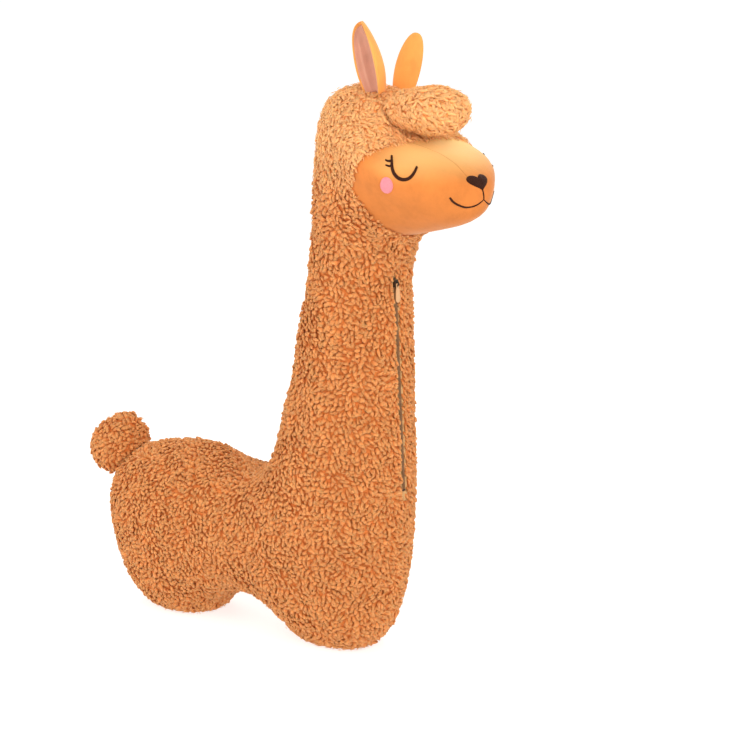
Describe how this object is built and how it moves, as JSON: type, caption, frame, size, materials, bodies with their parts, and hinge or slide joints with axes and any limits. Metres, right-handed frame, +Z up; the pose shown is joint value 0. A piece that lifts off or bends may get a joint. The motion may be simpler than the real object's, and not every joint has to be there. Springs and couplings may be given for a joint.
{
  "type": "plush alpaca",
  "caption": "Tall stuffed alpaca of curly tan fleece with a smooth sleepy face, ball tail and a zip down the front of its long neck.",
  "frame": {"origin": "middle of the overall length and width, on the floor under the feet", "axes": "+X towards the muzzle, +Z up, +Y to the toy's left"},
  "size_m": [0.6964, 0.2448, 0.8865],
  "materials": {
    "fleece": "curly tan pile",
    "velboa": "short smooth tan pile",
    "ear_lining": "short mauve pile",
    "dark_thread": "dark brown satin stitch",
    "pink_thread": "pink satin stitch",
    "filling": "loose white polyester fibre",
    "zip_tape": "woven olive tan tape",
    "zip_coil": "dark brown nylon coil",
    "zip_metal": "dark lacquered zinc",
    "zip_pull": "tan enamel"
  },
  "bodies": {
    "plush": {"body_filling": "filling", "cheek_left": "pink_thread", "cheek_right": "pink_thread", "ear_left_lining": "ear_lining", "ear_left_outer": "velboa", "ear_right_lining": "ear_lining", "ear_right_outer": "velboa", "eye_left": "dark_thread", "eye_right": "dark_thread", "face_panel_left": "velboa", "face_panel_right": "velboa", "fleece_cover_left": "fleece", "fleece_cover_right": "fleece", "forelock_cover": "fleece", "forelock_filling": "filling", "mouth": "dark_thread", "nose": "dark_thread", "tail_cover": "fleece", "tail_filling": "filling", "zip_bottom_stop": "zip_metal", "zip_coil_left": "zip_coil", "zip_coil_right": "zip_coil", "zip_tape_left": "zip_tape", "zip_tape_right": "zip_tape", "zip_top_stop": "zip_metal"},
    "zip_slider": {"zip_slider": "zip_metal"},
    "zip_pull": {"zip_pull": "zip_pull"}
  },
  "joints": [
    {"name": "zip_slide", "type": "slide", "parent": "plush", "child": "zip_slider", "axis": [0.0239, 0.0499, -0.9985], "range_m": [0, 0.286]},
    {"name": "zip_pull_hinge", "type": "hinge", "parent": "zip_slider", "child": "zip_pull", "pos_m": [0.19783, -0.00477, 0.54199], "axis": [-0.1191, -0.9915, -0.0524], "range_deg": [0, 140]}
  ]
}
